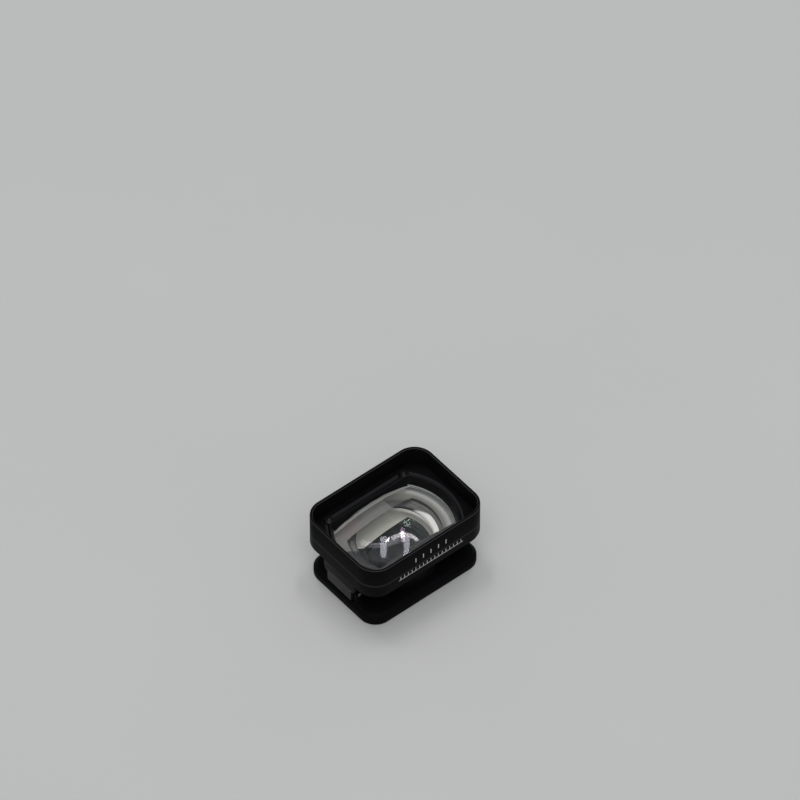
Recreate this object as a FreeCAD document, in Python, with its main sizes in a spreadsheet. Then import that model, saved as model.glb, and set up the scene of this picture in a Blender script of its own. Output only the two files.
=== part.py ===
"""Clip-on telephoto lens: a front converter for a small camera, in millimetres.

Z is the optical axis and points at the subject.  The rear rim of the clip frame
stands on Z = 0, X runs along the long side of the hood, and Y across it.
"""
import FreeCAD, Part
import math
import os
import Sketcher

os.makedirs("parts", exist_ok=True)
doc = FreeCAD.newDocument("telephoto_clip_lens")

# Driving sizes: alias, millimetres, meaning
SIZES = [
    ("total_height", 16.0, "rear rim of the clip frame to the front rim of the hood"),
    ("hood_length", 28.0, "outside of the hood, long way"),
    ("hood_width", 20.8, "outside of the hood, short way"),
    ("hood_corner", 4.1, "outside corner radius of the hood"),
    ("hood_wall", 0.55, "wall of the hood"),
    ("hood_reach", 7.45, "front rim to the hood's rear edge"),
    ("hood_depth", 4.1, "front rim to the hood's inner floor"),
    ("rim_chamfer", 0.12, "broken edges of the front rim"),
    ("hood_rear_chamfer", 0.4, "chamfer round the hood's rear edge"),
    ("seat_radius", 12.35, "round ends of the seat in the hood's floor"),
    ("seat_flat", 8.35, "axis to each flat of that seat"),
    ("seat_chamfer", 0.45, "chamfer round the seat"),
    ("lobe_radius", 1.05, "screw lobe at each corner of the seat"),
    ("lobe_along", 8.9, "lobe centre from the axis, long way"),
    ("lobe_across", 8.3, "lobe centre from the axis, short way"),
    ("plate_gap", 0.2, "gap round the retaining plate in its seat"),
    ("plate_lip", 0.2, "how far the plate laps over the round ends of the glass"),
    ("plate_bevel", 0.6, "width of the bevel that widens the plate's opening to the front"),
    ("plate_bevel_height", 1.6, "height of that bevel"),
    ("plate_screw_radius", 0.35, "thread of the plate screws"),
    ("plate_head_radius", 0.55, "head of the plate screws"),
    ("plate_head_height", 0.4, "height of those heads"),
    ("plate_head_sink", 0.08, "heads below the face of the plate"),
    ("plate_screw_length", 2.4, "plate screws under the head"),
    ("tap_spare", 0.1, "tapped holes deeper than their screws"),
    ("head_fit", 0.06, "radial gap round a sunk screw head"),
    ("glass_radius", 11.5, "round ends of the front element"),
    ("glass_flat", 6.9, "axis to each flat side of the front element"),
    ("glass_bow", 24.0, "front curve of the front element"),
    ("glass_edge_depth", 6.3, "front rim to the top of the glass edge at the round ends"),
    ("glass_edge", 2.75, "height of the ground edge of the front element"),
    ("glass_hollow", 60.0, "rear curve of the front element"),
    ("glass_clear", 9.2, "radius of the polished rear curve"),
    ("glass_fit", 0.05, "radial clearance of each lens in its seat"),
    ("lens_touch", 0.02, "clearance of a ring from the curve that it holds"),
    ("gasket_thick", 0.1, "gasket under the front element"),
    ("gasket_width", 0.9, "width of that gasket"),
    ("boss_wall", 0.4, "wall of the boss behind the hood, round the front element"),
    ("boss_floor", 0.65, "floor of that boss"),
    ("mask_radius", 8.2, "round ends of the opening in the boss floor"),
    ("mask_flat", 5.0, "axis to each flat of that opening"),
    ("barrel_radius", 7.9, "outside of the barrel's tube"),
    ("flange_radius", 10.2, "round ends of the flange that carries the hood"),
    ("flange_flat", 8.0, "axis to each flat of that flange, and of the boss on it"),
    ("flange_height", 1.0, "height of that flange"),
    ("block_length", 17.2, "screw block at the barrel's foot, long way"),
    ("block_width", 12.4, "screw block at the barrel's foot, short way"),
    ("block_corner", 1.2, "corner radius of that block"),
    ("block_height", 3.3, "height of that block"),
    ("tail_radius", 6.5, "round tail of the barrel that passes through the frame"),
    ("tail_proud", 0.6, "how far the tail stands out of the socket floor"),
    ("tail_fit", 0.05, "clearance of the tail in the frame"),
    ("middle_radius", 7.2, "radius of the cemented middle pair"),
    ("middle_bow", 24.0, "front curve of the middle pair"),
    ("middle_cement", 30.0, "cemented curve of the middle pair"),
    ("middle_crown_edge", 0.4, "edge of the middle crown"),
    ("middle_flint_edge", 1.5, "edge of the middle flint"),
    ("middle_ring_width", 0.7, "width of the middle retaining ring"),
    ("middle_ring_height", 0.32, "height of the middle retaining ring"),
    ("baffle_thick", 0.25, "light baffle"),
    ("baffle_opening", 6.4, "radius of the light baffle's opening"),
    ("baffle_radius", 7.45, "radius of the light baffle"),
    ("web_thick", 0.2, "web in the barrel between the middle pair and the rear element"),
    ("web_opening", 4.7, "radius of the opening in that web"),
    ("stop_thick", 0.15, "aperture stop"),
    ("stop_opening", 4.2, "radius of the aperture stop's opening"),
    ("rear_radius", 5.2, "radius of the rear element"),
    ("rear_edge", 1.55, "edge of the rear element"),
    ("rear_front_hollow", 18.0, "front curve of the rear element"),
    ("rear_back_hollow", 40.0, "rear curve of the rear element"),
    ("rear_ring_height", 0.5, "height of the rear retaining ring"),
    ("rear_ring_width", 0.8, "width of the rear retaining ring"),
    ("notch_width", 0.6, "spanner notches in the retaining rings"),
    ("notch_depth", 0.2, "depth of those notches"),
    ("frame_inset", 0.6, "clip frame inside the hood's outline"),
    ("frame_height", 2.3, "height of the clip frame"),
    ("frame_chamfer", 0.8, "chamfer round the frame's front face"),
    ("frame_foot_chamfer", 0.2, "chamfer round the frame's rear rim"),
    ("socket_length", 22.8, "socket for the camera's front, long way"),
    ("socket_width", 15.8, "socket for the camera's front, short way"),
    ("socket_corner", 2.2, "corner radius of the socket"),
    ("socket_depth", 1.6, "depth of the socket"),
    ("frame_screw_along", 7.4, "frame screws from the axis, long way"),
    ("frame_screw_across", 5.0, "frame screws from the axis, short way"),
    ("frame_screw_radius", 0.7, "thread of the frame screws"),
    ("frame_screw_length", 3.4, "frame screws, head and thread"),
    ("frame_head_radius", 1.15, "countersunk heads of the frame screws"),
    ("screw_fit", 0.02, "radial clearance of the screws in their holes"),
    ("recess_width", 0.22, "arms of the cross recess in a screw head"),
    ("recess_depth", 0.2, "depth of that recess"),
    ("recess_rim", 0.2, "rim of a small screw head outside its recess"),
    ("recess_rim_large", 0.45, "rim of a frame screw's head outside its recess"),
    ("pad_thick", 0.3, "rubber seat pad on the socket floor"),
    ("pad_margin", 0.4, "socket wall to the edge of the seat pad"),
    ("pad_gap", 0.3, "gap round the tail and the screw heads in the seat pad"),
    ("pivot_along", 12.1, "lever pivots from the axis"),
    ("pivot_height", 4.4, "lever pivots above the rear rim"),
    ("pin_radius", 0.4, "hinge pins"),
    ("pin_fit", 0.01, "clearance of the pins in the frame's ears"),
    ("pin_run", 0.05, "clearance of the pins in the levers"),
    ("hub_radius", 0.85, "hub of each lever"),
    ("lever_width", 6.8, "width of each lever between the ears"),
    ("ear_gap", 0.1, "gap between a lever and each ear"),
    ("ear_thick", 0.9, "thickness of the ears"),
    ("ear_radius", 0.9, "round top of the ears"),
    ("ear_foot_in", 0.7, "foot of an ear inward of its pivot"),
    ("ear_foot_out", 0.5, "foot of an ear outward of its pivot"),
    ("ear_root", 0.2, "how deep the ears root in the frame"),
    ("arm_thick", 0.7, "arm of each lever"),
    ("arm_inset", 0.1, "outer face of the arm outward of the pivot"),
    ("arm_lift", 0.25, "foot of the arm above the rear rim"),
    ("hook_reach", 0.45, "how far each hook stands inward from its arm"),
    ("hook_height", 1.1, "height of the hook on its arm"),
    ("hook_nose", 0.25, "flat nose of the hook"),
    ("slot_run", 0.6, "room outside each arm in its slot"),
    ("slot_back", 0.3, "room inside each arm in its slot"),
    ("grip_thick", 0.9, "finger pad of each lever"),
    ("grip_width", 8.8, "width of the finger pads"),
    ("grip_foot", 5.5, "lower edge of the finger pads above the rear rim"),
    ("grip_gap", 0.35, "gap between the finger pads and the hood's rear edge"),
    ("grip_corner", 0.8, "rounded corners of the finger pads"),
    ("groove_depth", 0.16, "finger grooves"),
    ("groove_height", 0.24, "height of a finger groove"),
    ("groove_pitch", 0.6, "spacing of the finger grooves"),
    ("groove_first", 0.4, "first groove above the foot of the pad"),
    ("shoulder_height", 5.3, "shoulder between a lever's hub and its pad, above the rear rim"),
    ("heel_height", 3.0, "heel of a lever above the rear rim"),
    ("heel_drop", 0.4, "how far the heel slopes down to the arm"),
    ("spring_thick", 0.15, "leaf springs"),
    ("spring_width", 2.4, "width of the leaf springs"),
    ("spring_foot_start", 9.6, "inner end of a spring's foot from the axis"),
    ("spring_foot_end", 10.75, "bend of a spring's foot from the axis"),
    ("spring_knee_along", 11.0, "upper bend of a spring from the axis"),
    ("spring_knee_height", 5.15, "upper bend of a spring above the rear rim"),
    ("spring_tip_height", 5.85, "tip of a spring above the rear rim"),
    ("spring_touch", 0.04, "gap between a spring's tip and its lever at rest"),
    ("spring_screw_along", 10.15, "spring screws from the axis"),
    ("spring_screw_radius", 0.3, "thread of the spring screws"),
    ("spring_head_radius", 0.5, "head of the spring screws"),
    ("spring_head_height", 0.25, "height of those heads"),
    ("spring_screw_length", 0.7, "spring screws under the head"),
]


class Size:
    """A length that knows its formula in the sheet and its value in millimetres."""

    def __init__(self, text, value):
        self.text = text
        self.value = value

    def join(self, sign, other, value):
        right = other.text if isinstance(other, Size) else repr(float(other))
        return Size("(" + self.text + " " + sign + " " + right + ")", value)

    def __add__(self, other):
        return self.join("+", other, self.value + number(other))

    def __sub__(self, other):
        return self.join("-", other, self.value - number(other))

    def __mul__(self, other):
        return self.join("*", other, self.value * number(other))

    def __truediv__(self, other):
        return self.join("/", other, self.value / number(other))

    def __neg__(self):
        return Size("(-1 * " + self.text + ")", -self.value)


def number(item):
    return item.value if isinstance(item, Size) else float(item)


def root(item):
    """Square root of a size."""
    return Size("sqrt(" + item.text + ")", math.sqrt(item.value))


def sag(curve, radius):
    """How far a curve falls away from its apex at a radius."""
    return curve - root(curve * curve - radius * radius)


sheet = doc.addObject("Spreadsheet::Sheet", "sizes")
size = {}
for row, (alias, value, meaning) in enumerate(SIZES, start=1):
    sheet.set("A%d" % row, meaning)
    sheet.set("B%d" % row, str(value))
    sheet.setAlias("B%d" % row, alias)
    size[alias] = Size("sizes." + alias, value)
doc.recompute()

ZERO = Size("0", 0.0)
TOLERANCE = 1e-4
CORNERS = [(1, 1), (-1, 1), (-1, -1), (1, -1)]
SIDES = [("right", 1), ("left", -1)]

# Radii and half widths that fitting pieces share, from the hood inward
seat_radius = size["seat_radius"]
seat_flat = size["seat_flat"]
lobe_along = size["lobe_along"]
lobe_across = size["lobe_across"]
glass_radius = size["glass_radius"]
glass_flat = size["glass_flat"]
glass_clear = size["glass_clear"]
lip_radius = glass_radius - size["plate_lip"]
bore_radius = glass_radius + size["glass_fit"]
bore_flat = glass_flat + size["glass_fit"]
mask_radius = size["mask_radius"]
mask_flat = size["mask_flat"]
middle_radius = size["middle_radius"]
ring_opening = middle_radius - size["middle_ring_width"]
baffle_radius = size["baffle_radius"]
baffle_seat = baffle_radius + size["glass_fit"]
baffle_opening = size["baffle_opening"]
barrel_radius = size["barrel_radius"]
flange_radius = size["flange_radius"]
flange_flat = size["flange_flat"]
rear_radius = size["rear_radius"]
web_opening = size["web_opening"]
stop_opening = size["stop_opening"]
tail_radius = size["tail_radius"]

# Heights on the axis, from the front rim back to the boss
front_rim = size["total_height"]
hood_rear = front_rim - size["hood_reach"]
hood_floor = front_rim - size["hood_depth"]
glass_top = front_rim - size["glass_edge_depth"]
glass_foot = glass_top - size["glass_edge"]
glass_apex = glass_top + sag(size["glass_bow"], glass_radius)
plate_foot = glass_apex - sag(size["glass_bow"], lip_radius) + size["lens_touch"]
gasket_foot = glass_foot - size["gasket_thick"]
boss_foot = gasket_foot - size["boss_floor"]
baffle_foot = boss_foot - size["baffle_thick"]

# Heights on the axis, from the frame forward to the middle pair
frame_top = size["frame_height"]
socket_floor = size["socket_depth"]
tail_end = socket_floor - size["tail_proud"]
rear_foot = tail_end + size["rear_ring_height"]
rear_top = rear_foot + size["rear_edge"]
web_foot = rear_top + size["stop_thick"]
middle_foot = web_foot + size["web_thick"]
cement_edge = middle_foot + size["middle_flint_edge"]
crown_top = cement_edge + size["middle_crown_edge"]
crown_apex = crown_top + sag(size["middle_bow"], middle_radius)
middle_ring_foot = crown_apex - sag(size["middle_bow"], ring_opening) + size["lens_touch"]

# Clip frame, its screws and its socket
frame_half_length = size["hood_length"] / 2 - size["frame_inset"]
frame_half_width = size["hood_width"] / 2 - size["frame_inset"]
frame_corner = size["hood_corner"] - size["frame_inset"]
frame_hole = size["frame_screw_radius"] + size["screw_fit"]
socket_half_length = size["socket_length"] / 2
socket_half_width = size["socket_width"] / 2
frame_screw_along = size["frame_screw_along"]
frame_screw_across = size["frame_screw_across"]

# Levers, their ears and their leaf springs
pivot_along = size["pivot_along"]
pivot_height = size["pivot_height"]
slot_half = size["lever_width"] / 2 + size["ear_gap"]
ear_outside = slot_half + size["ear_thick"]
arm_out = pivot_along + size["arm_inset"]
arm_in = arm_out - size["arm_thick"]
grip_out = frame_half_length
grip_in = grip_out - size["grip_thick"]
grip_foot = size["grip_foot"]
grip_top = hood_rear - size["grip_gap"]
shoulder = size["shoulder_height"]
heel = size["heel_height"]
spring_foot_start = size["spring_foot_start"]
spring_bend = size["spring_foot_end"]
spring_knee = size["spring_knee_along"]
spring_knee_height = size["spring_knee_height"]
spring_tip_height = size["spring_tip_height"]
spring_screw_along = size["spring_screw_along"]

# Screw block at the barrel's foot, between the springs
block_half_length = size["block_length"] / 2
block_half_width = size["block_width"] / 2

pieces = []


def finish(feature, label):
    """Name a finished sub-part: its label is its node and its file."""
    feature.Label = label
    pieces.append(feature)


def bind(feature, names):
    """Bind properties of a feature to formulas in the sheet."""
    for name, length in names.items():
        feature.setExpression(name, length.text)


def place(feature, x, y, z):
    bind(feature, {"Placement.Base.x": x, "Placement.Base.y": y, "Placement.Base.z": z})


# Part primitives and booleans

def box(name, x_low, x_high, y_low, y_high, z_low, z_high):
    block = doc.addObject("Part::Box", name)
    bind(block, {"Length": x_high - x_low, "Width": y_high - y_low, "Height": z_high - z_low})
    place(block, x_low, y_low, z_low)
    return block


def cylinder(name, radius, z_low, z_high, x=ZERO, y=ZERO):
    shaft = doc.addObject("Part::Cylinder", name)
    bind(shaft, {"Radius": radius, "Height": z_high - z_low})
    place(shaft, x, y, z_low)
    return shaft


def cone(name, low_radius, high_radius, z_low, z_high, x=ZERO, y=ZERO):
    taper = doc.addObject("Part::Cone", name)
    bind(taper, {"Radius1": low_radius, "Radius2": high_radius, "Height": z_high - z_low})
    place(taper, x, y, z_low)
    return taper


def sphere(name, radius, z_centre):
    ball = doc.addObject("Part::Sphere", name)
    bind(ball, {"Radius": radius})
    place(ball, ZERO, ZERO, z_centre)
    return ball


def fuse(name, parts):
    joined = doc.addObject("Part::MultiFuse", name)
    joined.Shapes = parts
    return joined


def common(name, parts):
    shared = doc.addObject("Part::MultiCommon", name)
    shared.Shapes = parts
    return shared


def cut(name, base, tools):
    result = doc.addObject("Part::Cut", name)
    result.Base = base
    result.Tool = tools[0] if len(tools) == 1 else fuse(name + "_tools", tools)
    return result


def group(name, parts):
    """Identical pieces that share one node."""
    bundle = doc.addObject("Part::Compound", name)
    bundle.Links = parts
    return bundle


# Sketches: each is attached to a plane of its own body, raised by an offset

def new_body(name):
    return doc.addObject("PartDesign::Body", name)


def new_sketch(body, name, offset=ZERO, role="XY_Plane"):
    sketch = body.newObject("Sketcher::SketchObject", name)
    support = [item for item in body.Origin.OriginFeatures if item.Role == role][0]
    sketch.AttachmentSupport = (support, [""])
    sketch.MapMode = "FlatFace"
    sketch.AttachmentOffset = FreeCAD.Placement(FreeCAD.Vector(0, 0, offset.value), FreeCAD.Rotation())
    sketch.setExpression("AttachmentOffset.Base.z", offset.text)
    return sketch


def point(x, y):
    return FreeCAD.Vector(number(x), number(y), 0)


def drive(sketch, kind, references, length):
    """Add a dimension and bind it to its formula."""
    index = sketch.addConstraint(Sketcher.Constraint(kind, *references, length.value))
    sketch.setExpression("Constraints[%d]" % index, length.text)


def pin_down(sketch, geometry, end, x, y):
    """Fix one point of a curve by its two coordinates."""
    for kind, axis, length in (("DistanceX", -2, x), ("DistanceY", -1, y)):
        if length is ZERO:
            sketch.addConstraint(Sketcher.Constraint("PointOnObject", geometry, end, axis))
        else:
            drive(sketch, kind, (-1, 1, geometry, end), length)


def draw_circle(sketch, radius, x=ZERO, y=ZERO):
    circle = Part.Circle(point(x, y), FreeCAD.Vector(0, 0, 1), radius.value)
    geometry = sketch.addGeometry(circle, False)
    pin_down(sketch, geometry, 3, x, y)
    drive(sketch, "Radius", (geometry,), radius)


def draw_polygon(sketch, corners):
    first = sketch.GeometryCount
    for here, there in zip(corners, corners[1:] + corners[:1]):
        sketch.addGeometry(Part.LineSegment(point(*here), point(*there)), False)
    count = len(corners)
    for index, corner in enumerate(corners):
        before = first + (index - 1) % count
        sketch.addConstraint(Sketcher.Constraint("Coincident", before, 2, first + index, 1))
        pin_down(sketch, first + index, 1, *corner)


def draw_rectangle(sketch, x_low, x_high, y_low, y_high):
    draw_polygon(sketch, [(x_low, y_low), (x_high, y_low), (x_high, y_high), (x_low, y_high)])


def draw_rounded(sketch, x_low, x_high, y_low, y_high, corner):
    """Rectangle with four equal tangent corners."""
    left, right = x_low.value, x_high.value
    low, high = y_low.value, y_high.value
    bend = corner.value
    first = sketch.GeometryCount
    runs = [((left + bend, low), (right - bend, low)), ((right, low + bend), (right, high - bend)),
            ((right - bend, high), (left + bend, high)), ((left, high - bend), (left, low + bend))]
    centres = [(right - bend, low + bend), (right - bend, high - bend),
               (left + bend, high - bend), (left + bend, low + bend)]
    for quarter, (run, centre) in enumerate(zip(runs, centres)):
        sketch.addGeometry(Part.LineSegment(point(*run[0]), point(*run[1])), False)
        start = math.radians(90 * quarter - 90)
        full = Part.Circle(point(*centre), FreeCAD.Vector(0, 0, 1), bend)
        sketch.addGeometry(Part.ArcOfCircle(full, start, start + math.pi / 2), False)
    for quarter in range(4):
        line = first + 2 * quarter
        arc = line + 1
        following = first + (2 * quarter + 2) % 8
        sketch.addConstraint(Sketcher.Constraint("Tangent", line, 2, arc, 1))
        sketch.addConstraint(Sketcher.Constraint("Tangent", arc, 2, following, 1))
        sketch.addConstraint(Sketcher.Constraint("Horizontal" if quarter % 2 == 0 else "Vertical", line))
        if quarter:
            sketch.addConstraint(Sketcher.Constraint("Equal", first + 1, arc))
    drive(sketch, "DistanceY", (-1, 1, first, 1), y_low)
    drive(sketch, "DistanceX", (-1, 1, first + 2, 1), x_high)
    drive(sketch, "DistanceY", (-1, 1, first + 4, 1), y_high)
    drive(sketch, "DistanceX", (-1, 1, first + 6, 1), x_low)
    drive(sketch, "Radius", (first + 1,), corner)


def draw_centred(sketch, half_length, half_width, corner):
    draw_rounded(sketch, -half_length, half_length, -half_width, half_width, corner)


def draw_truncated(sketch, radius, flat):
    """Circle cut by two flats parallel to X."""
    half = math.sqrt(radius.value ** 2 - flat.value ** 2)
    angle = math.asin(flat.value / radius.value)
    full = Part.Circle(point(0, 0), FreeCAD.Vector(0, 0, 1), radius.value)
    first = sketch.GeometryCount
    sketch.addGeometry(Part.ArcOfCircle(full, -angle, angle), False)
    sketch.addGeometry(Part.LineSegment(point(half, flat), point(-half, flat)), False)
    sketch.addGeometry(Part.ArcOfCircle(full, math.pi - angle, math.pi + angle), False)
    sketch.addGeometry(Part.LineSegment(point(-half, -flat), point(half, -flat)), False)
    for index in range(4):
        following = first + (index + 1) % 4
        sketch.addConstraint(Sketcher.Constraint("Coincident", first + index, 2, following, 1))
    for arc in (first, first + 2):
        sketch.addConstraint(Sketcher.Constraint("Coincident", arc, 3, -1, 1))
        drive(sketch, "Radius", (arc,), radius)
    sketch.addConstraint(Sketcher.Constraint("Horizontal", first + 1))
    sketch.addConstraint(Sketcher.Constraint("Horizontal", first + 3))
    drive(sketch, "DistanceY", (-1, 1, first + 1, 1), flat)
    drive(sketch, "DistanceY", (-1, 1, first + 3, 1), -flat)


# Features of a body: each is compared with the volume before it

def volume_of(body):
    return body.Shape.Volume if body.Tip and not body.Shape.isNull() else 0.0


def settle(body, feature, before, grows):
    body.Tip = feature
    doc.recompute()
    change = body.Shape.Volume - before
    if change * (1 if grows else -1) < TOLERANCE:
        raise ValueError(feature.Name + " does not change its body")
    return feature


def pad(body, sketch, name, length, both_ways=False):
    before = volume_of(body)
    feature = body.newObject("PartDesign::Pad", name)
    feature.Profile = sketch
    feature.Midplane = both_ways
    feature.setExpression("Length", length.text)
    return settle(body, feature, before, True)


def pocket(body, sketch, name, length=None, both_ways=False):
    """Cut down from the sketch by a length, or right through."""
    before = volume_of(body)
    feature = body.newObject("PartDesign::Pocket", name)
    feature.Profile = sketch
    feature.Midplane = both_ways
    if length is None:
        feature.Type = "ThroughAll"
    else:
        feature.setExpression("Length", length.text)
    return settle(body, feature, before, False)


def bevel_cut(body, low_sketch, high_sketch, name):
    """Cut a straight-sided taper between two sketches."""
    before = volume_of(body)
    feature = body.newObject("PartDesign::SubtractiveLoft", name)
    feature.Profile = low_sketch
    feature.Sections = [high_sketch]
    feature.Ruled = True
    return settle(body, feature, before, False)


def chamfer(body, name, width, wanted):
    """Chamfer the edges that pass a test."""
    before = volume_of(body)
    base = body.Tip
    edges = []
    for index, edge in enumerate(base.Shape.Edges, start=1):
        middle = edge.valueAt((edge.FirstParameter + edge.LastParameter) / 2)
        if wanted(edge, middle):
            edges.append("Edge%d" % index)
    feature = body.newObject("PartDesign::Chamfer", name)
    feature.Base = (base, edges)
    feature.setExpression("Size", width.text)
    return settle(body, feature, before, False)


def flat_at(edge, height):
    bounds = edge.BoundBox
    return abs(bounds.ZMin - height.value) < TOLERANCE and abs(bounds.ZMax - height.value) < TOLERANCE


def on_outline(spot, half_length, half_width, corner):
    """Whether a point lies on a rounded rectangle round the axis."""
    along = max(abs(spot.x) - (half_length.value - corner.value), 0)
    across = max(abs(spot.y) - (half_width.value - corner.value), 0)
    return abs(math.hypot(along, across) - corner.value) < TOLERANCE


def on_screw_circle(edge):
    """Whether a circle is the edge of one of the frame's screw holes."""
    centre = edge.BoundBox.Center
    along = abs(abs(centre.x) - frame_screw_along.value)
    across = abs(abs(centre.y) - frame_screw_across.value)
    return max(along, across) < TOLERANCE


# Hood and the pieces that hold the front element

def make_hood():
    body = new_body("hood")
    half_length = size["hood_length"] / 2
    half_width = size["hood_width"] / 2
    sketch = new_sketch(body, "hood_outline", hood_rear)
    draw_centred(sketch, half_length, half_width, size["hood_corner"])
    pad(body, sketch, "hood_block", size["hood_reach"])
    wall = size["hood_wall"]
    sketch = new_sketch(body, "cavity_outline", front_rim)
    draw_centred(sketch, half_length - wall, half_width - wall, size["hood_corner"] - wall)
    pocket(body, sketch, "cavity", size["hood_depth"])
    sketch = new_sketch(body, "boss_outline", boss_foot)
    draw_truncated(sketch, bore_radius + size["boss_wall"], flange_flat)
    pad(body, sketch, "boss", hood_rear - boss_foot)
    sketch = new_sketch(body, "seat_outline", hood_floor)
    draw_truncated(sketch, seat_radius, seat_flat)
    pocket(body, sketch, "seat", hood_floor - plate_foot)
    low = new_sketch(body, "seat_bevel_low", hood_floor - size["seat_chamfer"])
    draw_truncated(low, seat_radius, seat_flat)
    high = new_sketch(body, "seat_bevel_high", hood_floor)
    draw_truncated(high, seat_radius + size["seat_chamfer"], seat_flat + size["seat_chamfer"])
    bevel_cut(body, low, high, "seat_bevel")
    sketch = new_sketch(body, "lobe_outlines", hood_floor)
    for along, across in CORNERS:
        draw_circle(sketch, size["lobe_radius"], lobe_along * along, lobe_across * across)
    pocket(body, sketch, "lobes", hood_floor - plate_foot)
    sketch = new_sketch(body, "bore_outline", plate_foot)
    draw_truncated(sketch, bore_radius, bore_flat)
    pocket(body, sketch, "glass_bore", plate_foot - gasket_foot)
    sketch = new_sketch(body, "mask_outline", gasket_foot)
    draw_truncated(sketch, mask_radius, mask_flat)
    pocket(body, sketch, "mask_opening", size["boss_floor"])
    sketch = new_sketch(body, "tap_outlines", plate_foot)
    for along, across in CORNERS:
        draw_circle(sketch, size["plate_screw_radius"] + size["screw_fit"],
                    lobe_along * along, lobe_across * across)
    pocket(body, sketch, "plate_taps", plate_foot - plate_screw_end() + size["tap_spare"])
    chamfer(body, "rim_edges", size["rim_chamfer"],
            lambda edge, middle: flat_at(edge, front_rim))
    chamfer(body, "rear_edge", size["hood_rear_chamfer"],
            lambda edge, middle: flat_at(edge, hood_rear)
            and on_outline(middle, half_length, half_width, size["hood_corner"]))
    finish(body, "hood_shell")


def plate_head_top():
    return hood_floor - size["plate_head_sink"]


def plate_screw_end():
    return plate_head_top() - size["plate_head_height"] - size["plate_screw_length"]


def make_retaining_plate():
    body = new_body("plate")
    gap = size["plate_gap"]
    thick = hood_floor - plate_foot
    sketch = new_sketch(body, "plate_outline", plate_foot)
    draw_truncated(sketch, seat_radius - gap, seat_flat - gap)
    pad(body, sketch, "plate_disc", thick)
    sketch = new_sketch(body, "ear_outlines", plate_foot)
    for along, across in CORNERS:
        draw_circle(sketch, size["lobe_radius"] - gap, lobe_along * along, lobe_across * across)
    pad(body, sketch, "plate_ears", thick)
    sketch = new_sketch(body, "opening_outline", hood_floor)
    draw_truncated(sketch, lip_radius, bore_flat)
    pocket(body, sketch, "opening")
    low = new_sketch(body, "opening_bevel_low", hood_floor - size["plate_bevel_height"])
    draw_truncated(low, lip_radius, bore_flat)
    high = new_sketch(body, "opening_bevel_high", hood_floor)
    draw_truncated(high, lip_radius + size["plate_bevel"], bore_flat + size["plate_bevel"])
    bevel_cut(body, low, high, "opening_bevel")
    sketch = new_sketch(body, "screw_holes", hood_floor)
    for along, across in CORNERS:
        draw_circle(sketch, size["plate_screw_radius"] + size["screw_fit"],
                    lobe_along * along, lobe_across * across)
    pocket(body, sketch, "holes")
    sketch = new_sketch(body, "head_sinks", hood_floor)
    for along, across in CORNERS:
        draw_circle(sketch, size["plate_head_radius"] + size["head_fit"],
                    lobe_along * along, lobe_across * across)
    pocket(body, sketch, "sinks", size["plate_head_sink"] + size["plate_head_height"])
    finish(body, "front_retaining_plate")


def cross_recess(name, x, y, z_low, z_high, reach):
    """Two bars that cut a cross into a screw head."""
    half = size["recess_width"] / 2
    return [box(name + "_bar_x", x - reach, x + reach, y - half, y + half, z_low, z_high),
            box(name + "_bar_y", x - half, x + half, y - reach, y + reach, z_low, z_high)]


def make_plate_screws():
    screws = []
    head_top = plate_head_top()
    head_foot = head_top - size["plate_head_height"]
    for index, (along, across) in enumerate(CORNERS, start=1):
        name = "plate_screw_%d" % index
        x = lobe_along * along
        y = lobe_across * across
        head = cylinder(name + "_head", size["plate_head_radius"], head_foot, head_top, x, y)
        shank = cylinder(name + "_shank", size["plate_screw_radius"], plate_screw_end(), head_foot, x, y)
        recess = cross_recess(name, x, y, head_top - size["recess_depth"], head_top,
                              size["plate_head_radius"] - size["recess_rim"])
        screws.append(cut(name, fuse(name + "_blank", [head, shank]), recess))
    finish(group("plate_screw_set", screws), "plate_screws")


def make_front_element():
    blank = cylinder("front_blank", glass_radius, glass_foot, glass_apex)
    slab = box("front_flats", -glass_radius, glass_radius,
               -glass_flat, glass_flat, glass_foot, glass_apex)
    bow = sphere("front_bow", size["glass_bow"], glass_apex - size["glass_bow"])
    hollow_apex = glass_foot + sag(size["glass_hollow"], glass_clear)
    hollow = sphere("front_hollow", size["glass_hollow"], hollow_apex - size["glass_hollow"])
    lens = common("front_lens", [blank, slab, bow])
    finish(cut("front_ground", lens, [hollow]), "front_element")


def make_gasket():
    body = new_body("gasket")
    sketch = new_sketch(body, "gasket_outline", gasket_foot)
    draw_truncated(sketch, glass_radius, glass_flat)
    draw_truncated(sketch, glass_radius - size["gasket_width"], glass_flat - size["gasket_width"])
    pad(body, sketch, "gasket_ring", size["gasket_thick"])
    finish(body, "front_gasket")


# Barrel and what it holds

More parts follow.
